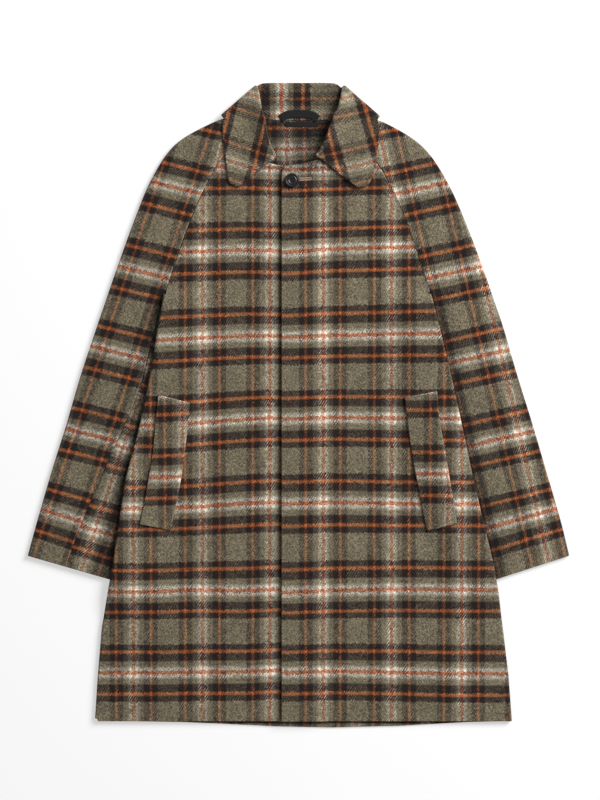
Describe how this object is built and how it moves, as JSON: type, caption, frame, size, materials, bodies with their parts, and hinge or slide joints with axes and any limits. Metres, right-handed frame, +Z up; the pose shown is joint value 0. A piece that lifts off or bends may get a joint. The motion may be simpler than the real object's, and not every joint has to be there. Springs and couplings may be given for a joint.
{
  "type": "overcoat",
  "caption": "Raglan overcoat of thick checked wool, laid flat with its front up: turned-down collar, fly front with a top button, slanted welt pockets.",
  "frame": {"origin": "on the surface that the coat lies on, under the middle of its outline", "axes": "+Z up from the surface towards the coat's front, +Y from hem to collar, +X to the viewer's right across the coat"},
  "size_m": [0.9302, 1.1078, 0.0192],
  "materials": {
    "checked_wool": "brushed wool twill in an olive, dark brown, orange, cream and rust check",
    "black_tape": "black woven tape",
    "black_button": "black moulded resin with a soft gloss",
    "cream_thread": "buttonhole and edge sewing thread"
  },
  "bodies": {
    "root": {"back_panel": "checked_wool", "front_viewer_left": "checked_wool", "front_viewer_right": "checked_wool", "sleeve_upper_left": "checked_wool", "sleeve_under_left": "checked_wool", "sleeve_upper_right": "checked_wool", "sleeve_under_right": "checked_wool", "collar_stand": "checked_wool", "collar_fall": "checked_wool", "pocket_welt_left": "checked_wool", "pocket_welt_right": "checked_wool", "hanger_loop": "black_tape", "neck_label": "black_tape", "button": "black_button"}
  },
  "joints": []
}
